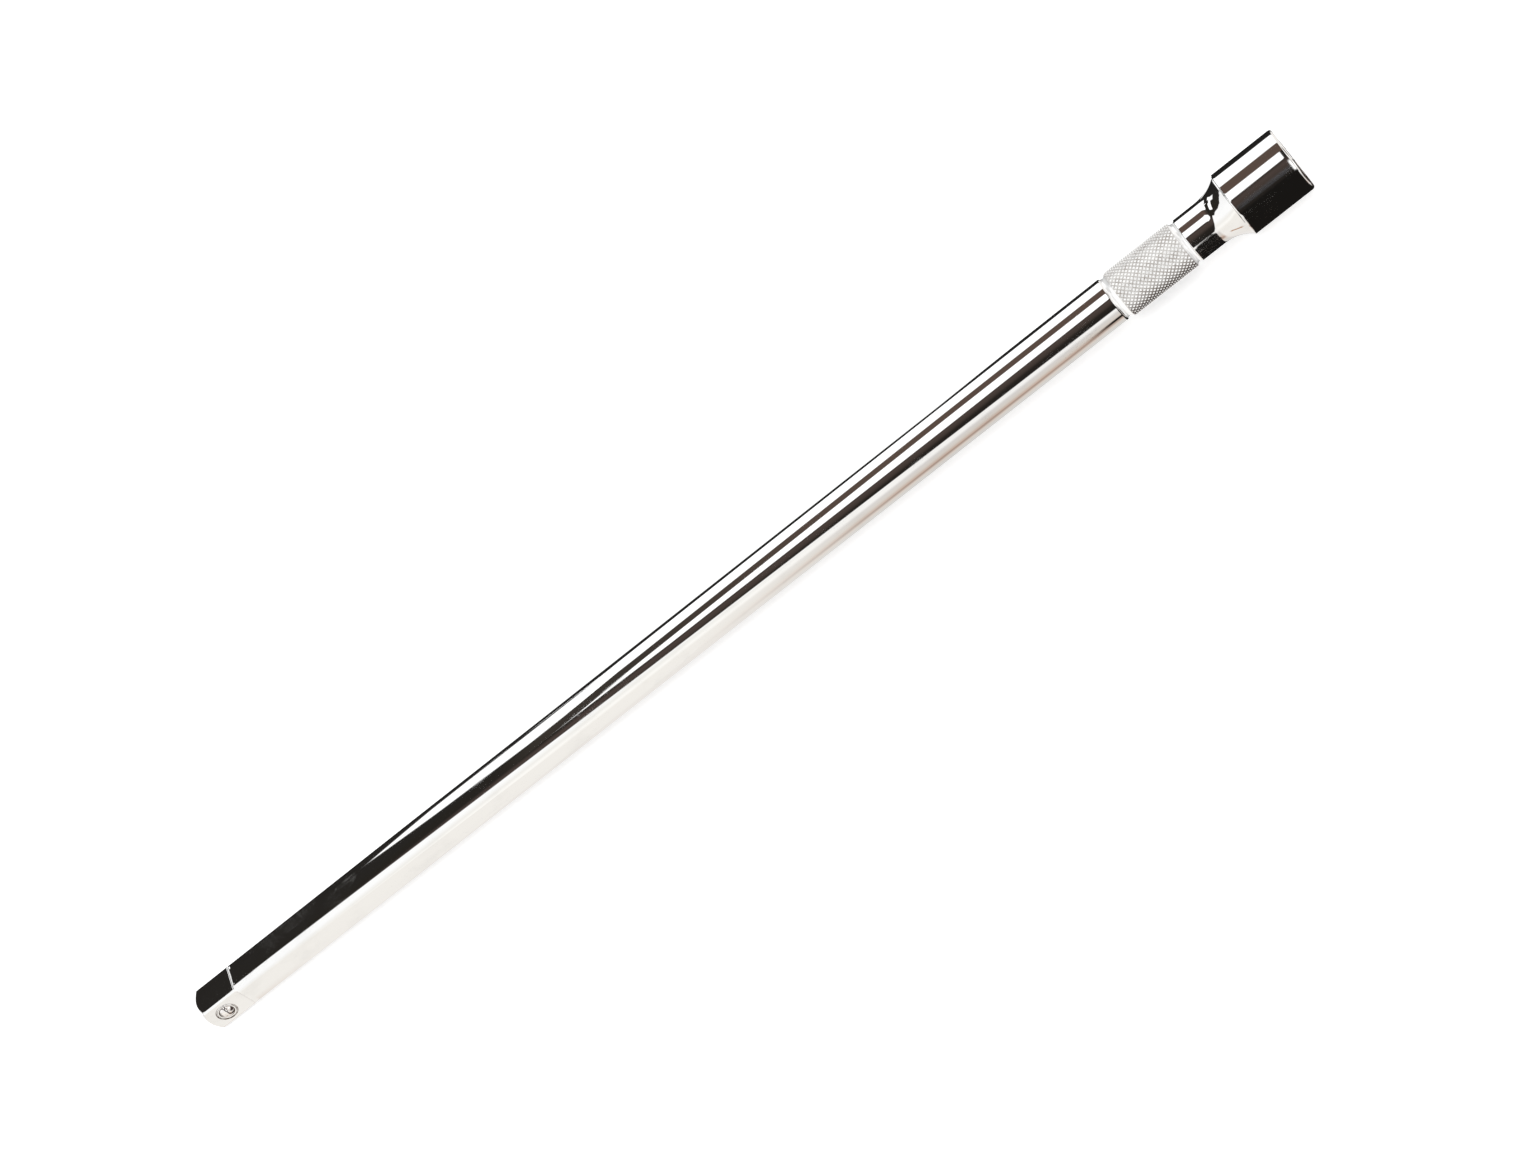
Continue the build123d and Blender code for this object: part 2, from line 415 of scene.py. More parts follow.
def recess(skin, rings, first_ring, last_ring, turn):
    """Sinks the round recess for the driving ball into the wall at this quarter turn."""
    reach = CHANNEL_STEPS + 4
    middle = turn * (HEAD_STEPS // 4)
    columns = [(middle + k) % HEAD_STEPS for k in range(-reach, reach + 1)]
    loop = [rings[first_ring][k] for k in columns[:-1]]
    loop += [rings[r][columns[-1]] for r in range(first_ring, last_ring)]
    loop += [rings[last_ring][k] for k in reversed(columns[1:])]
    loop += [rings[r][columns[0]] for r in range(last_ring, first_ring, -1)]
    c, s = QUARTERS[turn]
    sphere_centre = SOCKET_HALF + RECESS_DEPTH - RECESS_RADIUS

    def place(x, across, height):
        return (x, height * c - across * s, height * s + across * c)

    turns = []
    for number in loop:
        x, y, z = skin.points[number]
        turns.append(atan2(-y * s + z * c, x - RECESS_X))
    # Where the sphere meets the channelled wall, closed in on from a first guess
    edge = []
    for angle in turns:
        radius = 2.1
        for _ in range(12):
            height = wall_height(radius * sin(angle))
            radius = sqrt(RECESS_RADIUS**2 - (height - sphere_centre) ** 2)
        edge.append(radius)
    outer = loop
    for share, on_wall in ((1.22, True), (1.0, True), (0.85, False), (0.6, False), (0.3, False)):
        points = []
        for angle, radius in zip(turns, edge):
            reach_out = radius * share
            across = reach_out * sin(angle)
            height = wall_height(across)
            if not on_wall:
                height = sphere_centre + sqrt(RECESS_RADIUS**2 - reach_out**2)
            points.append(place(RECESS_X + reach_out * cos(angle), across, height))
        inner = skin.ring(points)
        skin.band(outer, inner)
        outer = inner
    skin.cap(outer, place(RECESS_X, 0, sphere_centre + RECESS_RADIUS))
    return set(columns[:-1])


def head_outline():
    """(x, radius) along the outside of the neck, flare and head."""
    rows = [(NECK_START + ahead, SHANK_RADIUS - drop) for ahead, drop in GROOVE_LIP]
    lead_end = NECK_START + NECK_LEAD
    rows.append((lead_end, SHANK_RADIUS))
    arc_rise = FLARE_RADIUS * (1 - cos(FLARE_ANGLE))
    back_radius = HEAD_RADIUS - HEAD_BACK_EDGE
    cone_rise = back_radius - SHANK_RADIUS - arc_rise
    flare_start = HEAD_BACK - FLARE_RADIUS * sin(FLARE_ANGLE) - cone_rise / tan(FLARE_ANGLE)
    for k in range(1, 6):
        rows.append((lead_end + (flare_start - lead_end) * k / 6, SHANK_RADIUS))
    for k in range(15):
        turn = FLARE_ANGLE * k / 14
        radius = SHANK_RADIUS + FLARE_RADIUS * (1 - cos(turn))
        rows.append((flare_start + FLARE_RADIUS * sin(turn), radius))
    cone_x, cone_radius = rows[-1]
    for share in (0.33, 0.66, 0.93):
        radius = cone_radius + (back_radius - cone_radius) * share
        rows.append((cone_x + (HEAD_BACK - cone_x) * share, radius))
    for k in range(1, 9):
        turn = QUARTER_TURN * k / 8
        x = HEAD_BACK + HEAD_BACK_EDGE * (1 - cos(turn))
        rows.append((x, back_radius + HEAD_BACK_EDGE * sin(turn)))
    straight_start = HEAD_BACK + HEAD_BACK_EDGE
    straight_end = BAR_LENGTH - HEAD_FRONT_EDGE - HEAD_EASE
    for share in (0.02, 0.2, 0.4, 0.6, 0.8, 0.98, 1.0):
        rows.append((straight_start + (straight_end - straight_start) * share, HEAD_RADIUS))
    ease_turn = asin(HEAD_EASE / HEAD_EASE_RADIUS)
    for k in range(1, 9):
        turn = ease_turn * k / 8
        drop = HEAD_EASE_RADIUS * (1 - cos(turn))
        rows.append((straight_end + HEAD_EASE_RADIUS * sin(turn), HEAD_RADIUS - drop))
    edge_radius = rows[-1][1]
    edge_x = BAR_LENGTH - HEAD_FRONT_EDGE
    for k in range(1, 13):
        turn = ease_turn + (QUARTER_TURN - ease_turn) * k / 12
        reach = (sin(turn) - sin(ease_turn)) / (1 - sin(ease_turn))
        drop = HEAD_FRONT_EDGE * (cos(ease_turn) - cos(turn))
        rows.append((edge_x + HEAD_FRONT_EDGE * reach, edge_radius - drop))
    rows += [(BAR_LENGTH, radius) for radius in END_FACE_RADII]
    return rows


def make_head():
    skin = Skin()
    rings = [skin.ring(circle(x, radius, HEAD_STEPS)) for x, radius in head_outline()]
    skin.cap(rings[0], (NECK_START, 0, 0))
    inside = []
    sink = COUNTERSINK_RADIUS - PILOT_RADIUS
    for share in (0.0, 0.25, 0.5, 0.75, 1.0):
        inside.append((BAR_LENGTH - sink * share, COUNTERSINK_RADIUS - sink * share))
    sink_end = BAR_LENGTH - sink
    patch_start = RECESS_X + RECESS_PATCH_HALF
    patch_end = RECESS_X - RECESS_PATCH_HALF
    for k in range(1, 5):
        inside.append((sink_end - (sink_end - patch_start) * k / 4, PILOT_RADIUS))
    first_recess = len(inside) - 1
    for k in range(1, 13):
        inside.append((patch_start - 2 * RECESS_PATCH_HALF * k / 12, PILOT_RADIUS))
    last_recess = len(inside) - 1
    for k in range(1, 4):
        inside.append((patch_end - (patch_end - SOCKET_FLOOR) * k / 3, PILOT_RADIUS))
    hole = [skin.ring(hole_section(x, radius)) for x, radius in inside]
    skip = set()
    for turn in range(4):
        skip |= recess(skin, hole, first_recess, last_recess, turn)
    for i in range(len(rings) - 1):
        skin.band(rings[i], rings[i + 1])
    skin.band(rings[-1], hole[0])
    for i in range(len(hole) - 1):
        skin.band(hole[i], hole[i + 1], skip if first_recess <= i < last_recess else ())
    # Floor of the square, and the pilot hole's end and drill point below it
    bottom = skin.ring(
        (SOCKET_FLOOR, PILOT_RADIUS * cos(t), PILOT_RADIUS * sin(t))
        for t in (atan2(skin.points[n][2], skin.points[n][1]) for n in hole[-1])
    )
    skin.band(hole[-1], bottom)
    outer = bottom
    point_depth = PILOT_RADIUS / tan(DRILL_HALF_ANGLE)
    for x, radius in ((PILOT_END, PILOT_RADIUS), (PILOT_END - point_depth / 2, PILOT_RADIUS / 2)):
        inner = skin.ring(
            (x, radius * cos(t), radius * sin(t))
            for t in (atan2(skin.points[n][2], skin.points[n][1]) for n in bottom)
        )
        skin.band(outer, inner)
        outer = inner
    skin.cap(outer, (PILOT_END - point_depth, 0, 0))
    return finish_mesh("socket_head_and_neck", skin)


# ---------------------------------------------------------------- knurled band

KNURL_STARTS = 32
KNURL_STEPS = 10
KNURL_PITCH = 1.78
KNURL_TIP = 9.2
KNURL_DEPTH = 0.48
KNURL_SHANK_LEAD = 1.4
KNURL_NECK_LEAD = 0.7
GROOVE_STEPS = 10
# Height of a tooth at each step from its groove to its tip, as a share of the depth
TOOTH = (0.0, 0.16, 0.42, 0.68, 0.91, 1.0)


def knurl_radius(step, turn_step):
    """Radius on the diamond knurl, from how far the point is from the two families of grooves."""
    one_way = (step + turn_step) % KNURL_STEPS
    other_way = (step - turn_step) % KNURL_STEPS
    near = min(one_way, KNURL_STEPS - one_way, other_way, KNURL_STEPS - other_way)
    return KNURL_TIP - KNURL_DEPTH * (1 - TOOTH[near])


def make_knurl():
    skin = Skin()
    count = KNURL_STARTS * KNURL_STEPS
    edge_radius = SHANK_RADIUS - GROOVE_EDGE
    groove_half = (KNURL_START - SHANK_END) / 2
    sag = GROOVE_DEPTH - GROOVE_EDGE
    groove_arc = (groove_half**2 + sag**2) / (2 * sag)
    arc_turn = asin(groove_half / groove_arc)
    rows = []

    def groove(start):
        for k in range(GROOVE_STEPS + 1):
            turn = arc_turn * (2 * k / GROOVE_STEPS - 1)
            x = start + groove_half + groove_arc * sin(turn)
            radius = SHANK_RADIUS - GROOVE_DEPTH + groove_arc * (1 - cos(turn))
            rows.append((x, [radius] * count))

    groove(SHANK_END)
    cell = KNURL_PITCH / KNURL_STEPS
    steps = int((KNURL_END - KNURL_START) / cell)
    offset = (KNURL_END - KNURL_START - steps * cell) / 2
    for step in range(steps + 1):
        x = KNURL_START + offset + step * cell
        from_shank = (x - KNURL_START) / KNURL_SHANK_LEAD
        from_neck = (KNURL_END - x) / KNURL_NECK_LEAD
        lead = edge_radius + (KNURL_TIP - edge_radius) * min(1.0, from_shank, from_neck)
        rows.append((x, [min(lead, knurl_radius(step, k)) for k in range(count)]))
    groove(KNURL_END)
    rings = []
    for x, radii in rows:
        rings.append(
            skin.ring(
                (x, r * cos(2 * pi * k / count), r * sin(2 * pi * k / count))
                for k, r in enumerate(radii)
            )
        )
    # Each quad is cut along the groove that is nearer, so that the grooves stay straight
    for i in range(len(rings) - 1):
        a, b = rings[i], rings[i + 1]
        step = i - (GROOVE_STEPS + 1)
        for k in range(count):
            j = (k + 1) % count
            one_way = (2 * step + 2 * k + 2) % (2 * KNURL_STEPS)
            other_way = (2 * step - 2 * k) % (2 * KNURL_STEPS)
            near_one = min(one_way, 2 * KNURL_STEPS - one_way)
            near_other = min(other_way, 2 * KNURL_STEPS - other_way)
            if near_one < near_other:
                skin.faces.append((a[k], a[j], b[k]))
                skin.faces.append((a[j], b[j], b[k]))
            else:
                skin.faces.append((a[k], a[j], b[j]))
                skin.faces.append((a[k], b[j], b[k]))
    skin.cap(rings[0], (SHANK_END, 0, 0))
    skin.cap(rings[-1], (NECK_START, 0, 0))
    return finish_mesh("knurled_grip_band", skin, sharp_degrees=24)


# ---------------------------------------------------------------- ball and spring


BALL_CUTS = 23


def make_ball():
    """A ball whose faces are even all over: a cube's grid pushed out to the sphere."""
    name = "detent_ball_polished"
    work = bmesh.new()
    bmesh.ops.create_cube(work, size=2)
    bmesh.ops.subdivide_edges(work, edges=work.edges, cuts=BALL_CUTS, use_grid_fill=True)
    for vertex in work.verts:
        x, y, z = (tan(c * pi / 4) for c in vertex.co)
        vertex.co = Vector((x, y, z)).normalized() * BALL_RADIUS * MM
        vertex.co += Vector((BALL_X, BALL_Y, 0)) * MM
    for face in work.faces:
        face.smooth = True
    bmesh.ops.recalc_face_normals(work, faces=work.faces)
    mesh = bpy.data.meshes.new(name)
    work.to_mesh(mesh)
    work.free()
    piece = bpy.data.objects.new(name, mesh)
    bpy.context.scene.collection.objects.link(piece)
    return piece


SPRING_RADIUS = 2.2
WIRE_RADIUS = 0.3
SPRING_GAP = 0.02
SPRING_TOP = BALL_Y + sqrt((BALL_RADIUS + WIRE_RADIUS) ** 2 - SPRING_RADIUS**2) + SPRING_GAP
SPRING_BOTTOM = 3.24
SPRING_TURNS = 5
STEPS_PER_TURN = 48
WIRE_STEPS = 14
# Pitch of the closed turn at each end, and how steeply the wire's own section leans
CLOSED_PITCH = 0.62
WIRE_SLOPE = 0.08


def make_spring():
    """Five turns of round wire, with the first and last turns closed up."""
    skin = Skin()
    length = SPRING_BOTTOM - SPRING_TOP
    total = SPRING_TURNS * STEPS_PER_TURN
    rings = []
    for i in range(total + 1):
        t = i / STEPS_PER_TURN
        if t < 1:
            travel = CLOSED_PITCH * t
        elif t > SPRING_TURNS - 1:
            travel = length - CLOSED_PITCH * (SPRING_TURNS - t)
        else:
            travel = CLOSED_PITCH + (length - 2 * CLOSED_PITCH) * (t - 1) / (SPRING_TURNS - 2)
        angle = 2 * pi * t
        outward = Vector((cos(angle), 0, sin(angle)))
        centre = Vector((BALL_X, SPRING_TOP + travel, 0)) + SPRING_RADIUS * outward
        along = Vector((-sin(angle), WIRE_SLOPE, cos(angle))).normalized()
        up = along.cross(outward).normalized()
        wire = []
        for k in range(WIRE_STEPS):
            turn = 2 * pi * k / WIRE_STEPS
            wire.append(tuple(centre + WIRE_RADIUS * (cos(turn) * outward + sin(turn) * up)))
        rings.append(skin.ring(wire))
    for i in range(total):
        skin.band(rings[i], rings[i + 1])
    for ring in (rings[0], rings[-1]):
        middle = sum((Vector(skin.points[n]) for n in ring), Vector()) / WIRE_STEPS
        skin.cap(ring, tuple(middle))
    return finish_mesh("detent_spring_coil", skin, sharp_degrees=50)


# ---------------------------------------------------------------- materials


class Nodes:
    """Short ways to add and join shader nodes."""

    def __init__(self, tree):
        self.tree = tree
        tree.nodes.clear()

    def add(self, kind, **settings):
        node = self.tree.nodes.new(kind)
        for key, value in settings.items():
            setattr(node, key, value)
        return node

    def link(self, value, socket):
        if isinstance(value, bpy.types.NodeSocket):
            self.tree.links.new(value, socket)
        else:
            socket.default_value = value

    def math(self, operation, a, b=0.0):
        node = self.add("ShaderNodeMath", operation=operation)
        self.link(a, node.inputs[0])
        self.link(b, node.inputs[1])
        return node.outputs[0]

    def ramp_up(self, value, low, high, to_low=0.0):
        """Rises smoothly to 1 as the value goes from low to high; low may be the greater."""
        node = self.add("ShaderNodeMapRange", interpolation_type="SMOOTHSTEP")
        self.link(value, node.inputs["Value"])
        self.link(low, node.inputs["From Min"])
        self.link(high, node.inputs["From Max"])
        node.inputs["To Min"].default_value = to_low
        return node.outputs["Result"]

    def noise(self, vector, scale, detail=2.0, roughness=0.5):
        node = self.add("ShaderNodeTexNoise")
        self.link(vector, node.inputs["Vector"])
        node.inputs["Scale"].default_value = scale
        node.inputs["Detail"].default_value = detail
        node.inputs["Roughness"].default_value = roughness
        return node.outputs["Fac"]

    def stretched(self, scale, turn=(0, 0, 0)):
        """The object's own coordinates, scaled and turned."""
        coordinates = self.add("ShaderNodeTexCoord")
        mapping = self.add("ShaderNodeMapping")
        self.link(coordinates.outputs["Object"], mapping.inputs["Vector"])
        mapping.inputs["Scale"].default_value = scale
        mapping.inputs["Rotation"].default_value = turn
        return mapping.outputs["Vector"]

    def mix(self, factor, a, b):
        node = self.add("ShaderNodeMix", data_type="RGBA")
        self.link(factor, node.inputs["Factor"])
        self.link(a, node.inputs["A"])
        self.link(b, node.inputs["B"])
        return node.outputs["Result"]

    def gradient(self, turn, stops):
        """Colour by an angle from -180 to 180 degrees, given as (angle, colour) pairs."""
        place = self.add("ShaderNodeMapRange")
        self.link(turn, place.inputs["Value"])
        place.inputs["From Min"].default_value = -180
        place.inputs["From Max"].default_value = 180
        node = self.add("ShaderNodeValToRGB")
        self.link(place.outputs["Result"], node.inputs["Fac"])
        fill_ramp(node.color_ramp, [((angle + 180) / 360, colour) for angle, colour in stops])
        return node.outputs["Color"]

    def lookup(self, value, pairs):
        """An angle that follows the (input from -1 to 1, angle) pairs in straight lines."""
        low, high = -1, 1
        out_low, out_high = -180, 180
        place = self.add("ShaderNodeMapRange")
        self.link(value, place.inputs["Value"])
        place.inputs["From Min"].default_value = low
        place.inputs["From Max"].default_value = high
        node = self.add("ShaderNodeValToRGB")
        self.link(place.outputs["Result"], node.inputs["Fac"])
        stops = []
        for x, y in pairs:
            level = (y - out_low) / (out_high - out_low)
            stops.append(((x - low) / (high - low), (level, level, level)))
        fill_ramp(node.color_ramp, stops)
        back = self.add("ShaderNodeMapRange")
        self.link(node.outputs["Color"], back.inputs["Value"])
        back.inputs["To Min"].default_value = out_low
        back.inputs["To Max"].default_value = out_high
        return back.outputs["Result"]


def fill_ramp(ramp, stops):
    """Sets a colour ramp's stops from (place, colour) pairs."""
    while len(ramp.elements) > 1:
        ramp.elements.remove(ramp.elements[-1])
    for number, (place, colour) in enumerate(stops):
        element = ramp.elements[0] if number == 0 else ramp.elements.new(place)
        element.position = place
        element.color = tuple(colour) + (1,)


def new_material(name):
    """A metal Principled material, with its node helper and its shader."""
    material = bpy.data.materials.new(name)
    material.use_nodes = True
    nodes = Nodes(material.node_tree)
    shader = nodes.add("ShaderNodeBsdfPrincipled")
    output = nodes.add("ShaderNodeOutputMaterial")
    material.node_tree.links.new(shader.outputs["BSDF"], output.inputs["Surface"])
    shader.inputs["Metallic"].default_value = 1.0
    return material, nodes, shader


def add_bump(nodes, shader, height, strength, distance):
    bump = nodes.add("ShaderNodeBump")
    bump.inputs["Strength"].default_value = strength
    bump.inputs["Distance"].default_value = distance
    nodes.link(height, bump.inputs["Height"])
    nodes.link(bump.outputs["Normal"], shader.inputs["Normal"])


def scratches(nodes, scale, turn, width):
    """Thin sparse lines: where a stretched noise passes through its middle value."""
    lines = nodes.noise(nodes.stretched(scale, turn), 1.0, detail=3.0)
    distance = nodes.math("ABSOLUTE", nodes.math("SUBTRACT", lines, 0.5))
    return nodes.ramp_up(distance, width, 0.0)


def staked_ring_painted_shade(nodes):
    """Painted shade in the punched ring and in the gap at the rim round the ball, 0 to 1."""
    coordinates = nodes.add("ShaderNodeTexCoord")
    parts = nodes.add("ShaderNodeSeparateXYZ")
    nodes.link(coordinates.outputs["Object"], parts.inputs[0])
    along = nodes.math("SUBTRACT", parts.outputs["X"], BALL_X * MM)
    along = nodes.math("MULTIPLY", along, along)
    across = nodes.math("MULTIPLY", parts.outputs["Z"], parts.outputs["Z"])
    from_bore_axis = nodes.math("SQRT", nodes.math("ADD", along, across))

    def line(radius, half_width):
        off = nodes.math("ABSOLUTE", nodes.math("SUBTRACT", from_bore_axis, radius * MM))
        return nodes.ramp_up(off, half_width * MM, half_width * MM * 0.3)

    broken = nodes.noise(nodes.stretched((900, 900, 900)), 1.0, detail=3.0)
    broken = nodes.ramp_up(broken, 0.30, 0.55, to_low=0.35)
    ring = nodes.math("MULTIPLY", line(4.06, 0.26), broken)
    rim = line(2.90, 0.22)
    on_ball_side = nodes.ramp_up(parts.outputs["Y"], -0.0050, -0.0056)
    return nodes.math("MULTIPLY", nodes.math("MAXIMUM", ring, rim), on_ball_side)


CHROME_TINT = (0.90, 0.90, 0.895, 1)
# Colour of the painted shade in the punched ring and the gap round the ball
RING_SHADE = (0.13, 0.085, 0.06, 1)


def chrome(name, tint, base_roughness, shaded_ring=False):
    material, nodes, shader = new_material(name)
    smudge = nodes.noise(nodes.stretched((60, 90, 90)), 1.0, detail=4.0, roughness=0.6)
    smudge = nodes.ramp_up(smudge, 0.48, 0.72)
    fine = scratches(nodes, (90, 1500, 1500), (0, 0, 0.05), 0.012)
    cross = scratches(nodes, (700, 160, 700), (0.3, 0.5, 0.9), 0.006)
    sparse = nodes.ramp_up(nodes.noise(nodes.stretched((45, 80, 80)), 1.0), 0.5, 0.62)
    marks = nodes.math("MULTIPLY", nodes.math("MAXIMUM", fine, cross), sparse)
    rough = nodes.math("MULTIPLY_ADD", smudge, 0.04)
    rough.node.inputs[2].default_value = base_roughness
    rough = nodes.math("ADD", rough, nodes.math("MULTIPLY", marks, 0.12))
    dull = tuple(c * 0.88 for c in tint[:3]) + (1.0,)
    colour = nodes.mix(nodes.math("MULTIPLY", smudge, 0.35), tint, dull)
    if shaded_ring:
        # Painted shade in the punched ring and the gap round the ball
        grime_and_shade = staked_ring_painted_shade(nodes)
        colour = nodes.mix(grime_and_shade, colour, RING_SHADE)
        rough = nodes.math("ADD", rough, nodes.math("MULTIPLY", grime_and_shade, 0.4))
    nodes.link(rough, shader.inputs["Roughness"])
    nodes.link(colour, shader.inputs["Base Color"])
    waves = nodes.noise(nodes.stretched((25, 120, 120)), 1.0, detail=1.0)
    add_bump(nodes, shader, waves, 0.35, 0.000006)
    return material


# The knurl is dull and carries painted shade up to one radius and is bright from the other, and the
# painted shade reaches this much further out on its underside
DULL_SHADED_RADIUS = 8.76
BRIGHT_RADIUS = 9.0
UNDERSIDE_SHADE_REACH = 0.12


def knurl_chrome():
    """Chrome on the knurl: duller and with painted shade in the grooves, darkest on the underside,
    bright on the worn tips.
    """
    material, nodes, shader = new_material("knurled_chrome")
    coordinates = nodes.add("ShaderNodeTexCoord")
    parts = nodes.add("ShaderNodeSeparateXYZ")
    nodes.link(coordinates.outputs["Object"], parts.inputs[0])
    y, z = parts.outputs["Y"], parts.outputs["Z"]
    square = nodes.math("ADD", nodes.math("MULTIPLY", y, y), nodes.math("MULTIPLY", z, z))
    radius = nodes.math("SQRT", square)
    # Painted shade on the underside of the knurl
    underside_shade = nodes.ramp_up(z, 0.005, -0.004)
    radius = nodes.math("SUBTRACT", radius, nodes.math("MULTIPLY", underside_shade, UNDERSIDE_SHADE_REACH * MM))
    tip = nodes.ramp_up(radius, DULL_SHADED_RADIUS * MM, BRIGHT_RADIUS * MM)
    from_shank = nodes.ramp_up(parts.outputs["X"], (KNURL_START + 1.0) * MM, (KNURL_START + 0.4) * MM)
    from_neck = nodes.ramp_up(parts.outputs["X"], (KNURL_END - 0.6) * MM, (KNURL_END - 0.2) * MM)
    tip = nodes.math("MAXIMUM", tip, nodes.math("MAXIMUM", from_shank, from_neck))
    # Patchy grime that varies the grooves' painted shade and roughness
    grime_and_shade = nodes.noise(nodes.stretched((260, 400, 400)), 1.0, detail=5.0)
    grime_and_shade = nodes.ramp_up(grime_and_shade, 0.35, 0.7)
    # Painted shade in the grooves, near black on the underside
    low = nodes.mix(grime_and_shade, (0.70, 0.69, 0.67, 1), (0.46, 0.43, 0.40, 1))
    low = nodes.mix(underside_shade, low, (0.04, 0.02, 0.012, 1))
    nodes.link(nodes.mix(tip, low, (0.98, 0.98, 0.975, 1)), shader.inputs["Base Color"])
    shader.inputs["Metallic"].default_value = 0.4
    rough = nodes.math("SUBTRACT", 0.26, nodes.math("MULTIPLY", tip, 0.10))
    rough = nodes.math("ADD", rough, nodes.math("MULTIPLY", grime_and_shade, 0.05))
    nodes.link(rough, shader.inputs["Roughness"])
    grain = nodes.noise(nodes.stretched((3000, 3000, 3000)), 1.0)
    add_bump(nodes, shader, grain, 0.25, 0.00003)
    return material


def steel(name, tint, base_roughness, grain):
    material, nodes, shader = new_material(name)
    patch = nodes.ramp_up(nodes.noise(nodes.stretched((500, 500, 500)), 1.0, detail=4.0), 0.4, 0.7)
    lines = nodes.noise(nodes.stretched(grain), 1.0, detail=2.0)
    dark = tuple(c * 0.8 for c in tint[:3]) + (1.0,)
    nodes.link(nodes.mix(patch, tint, dark), shader.inputs["Base Color"])
    rough = nodes.math("ADD", nodes.math("MULTIPLY", patch, 0.08), nodes.math("MULTIPLY", lines, 0.06))
    nodes.link(nodes.math("ADD", rough, base_roughness), shader.inputs["Roughness"])
    add_bump(nodes, shader, lines, 0.15, 0.00001)
    return material


# ---------------------------------------------------------------- pieces

shaft = make_shaft()
shaft.data.materials.append(chrome("polished_chrome", CHROME_TINT, 0.022, shaded_ring=True))
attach(shaft, "bar")
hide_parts("drive_end", "shank")

head = make_head()
head.data.materials.append(chrome("polished_head_chrome", CHROME_TINT, 0.026))
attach(head, "bar")
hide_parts("socket_head")

knurl = make_knurl()
knurl.data.materials.append(knurl_chrome())
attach(knurl, "bar")
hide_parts("knurled_band")

ball = make_ball()
# The ball's warm pinkish tint is a painted reflection of skin
ball.data.materials.append(steel("ball_steel", (0.90, 0.87, 0.85, 1), 0.03, (900, 900, 900)))
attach(ball, "ball")
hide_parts("detent_ball")

spring = make_spring()
spring.data.materials.append(steel("spring_steel", (0.46, 0.46, 0.47, 1), 0.3, (2500, 2500, 400)))
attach(spring, "bar")
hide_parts("detent_spring")
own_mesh(spring)


# ---------------------------------------------------------------- camera

FOCAL_LENGTH = 82.03125
SENSOR_WIDTH = 36.0
HEAD_NEARER = radians(11.5)
ROLL = radians(38.17)
AIM_X = 267.14
AIM_BELOW_AXIS = 1.48
AIM_DISTANCE = 1236.95


def place_camera():
    up_from_front = cos(HEAD_NEARER) / sqrt(2)
    back = Vector((sin(HEAD_NEARER), -up_from_front, up_from_front))
    bar_axis = Vector((1, 0, 0))
    along_bar = (bar_axis - back * back.x).normalized()
    across_bar = back.cross(along_bar)
    right = cos(ROLL) * along_bar - sin(ROLL) * across_bar
    up = sin(ROLL) * along_bar + cos(ROLL) * across_bar
    aim = Vector((AIM_X, 0, 0)) - AIM_BELOW_AXIS * across_bar
    place = (aim + AIM_DISTANCE * back) * MM
    lens = bpy.data.cameras.new("photo_camera")
    lens.sensor_width = SENSOR_WIDTH
    lens.lens = FOCAL_LENGTH
    lens.clip_start = 0.01
    lens.clip_end = 20
    camera = bpy.data.objects.new("photo_camera", lens)
    axes = Matrix((right, up, back)).transposed().to_4x4()
    camera.matrix_world = Matrix.Translation(place) @ axes
    bpy.context.scene.collection.objects.link(camera)
    bpy.context.scene.camera = camera


place_camera()


# ---------------------------------------------------------------- floor and light

FLOOR_HALF = 12000.0
FLOOR_GAP = 0.02
FLOOR_GREY = 0.66
FLOOR_GLOW = 0.6


def make_floor():
    """A large pale sheet that touches the bar at its shoulder's edge and under the socket head."""
    heel_x, heel_z = TANG_LENGTH, -LONG_FLAT_AT_SHOULDER
    head_x, head_z = HEAD_BACK + HEAD_BACK_EDGE, -HEAD_RADIUS
    slope = (head_z - heel_z) / (head_x - heel_x)
    mesh = bpy.data.meshes.new("floor")
    corners = []
    for sx, sy in ((-1, -1), (1, -1), (1, 1), (-1, 1)):
        x = BAR_LENGTH / 2 + sx * FLOOR_HALF
        z = heel_z + slope * (x - heel_x) - FLOOR_GAP
        corners.append((x * MM, sy * FLOOR_HALF * MM, z * MM))
    mesh.from_pydata(corners, [], [(0, 1, 2, 3)])
    floor = bpy.data.objects.new("floor", mesh)
    bpy.context.scene.collection.objects.link(floor)
    material = bpy.data.materials.new("floor")
    material.use_nodes = True
    shader = material.node_tree.nodes["Principled BSDF"]
    shader.inputs["Base Color"].default_value = (FLOOR_GREY, FLOOR_GREY, FLOOR_GREY, 1)
    shader.inputs["Emission Color"].default_value = (1, 1, 1, 1)
    shader.inputs["Emission Strength"].default_value = FLOOR_GLOW
    shader.inputs["Roughness"].default_value = 0.9
    shader.inputs["Specular IOR Level"].default_value = 0.0
    mesh.materials.append(material)
    floor.visible_glossy = False


make_floor()

EVEN_LIGHT = 0.88
WHITE = (1.35, 1.35, 1.35, 1)
WALL_WHITE = (1.15, 1.15, 1.15, 1)
BLACK = (0.010, 0.009, 0.008, 1)

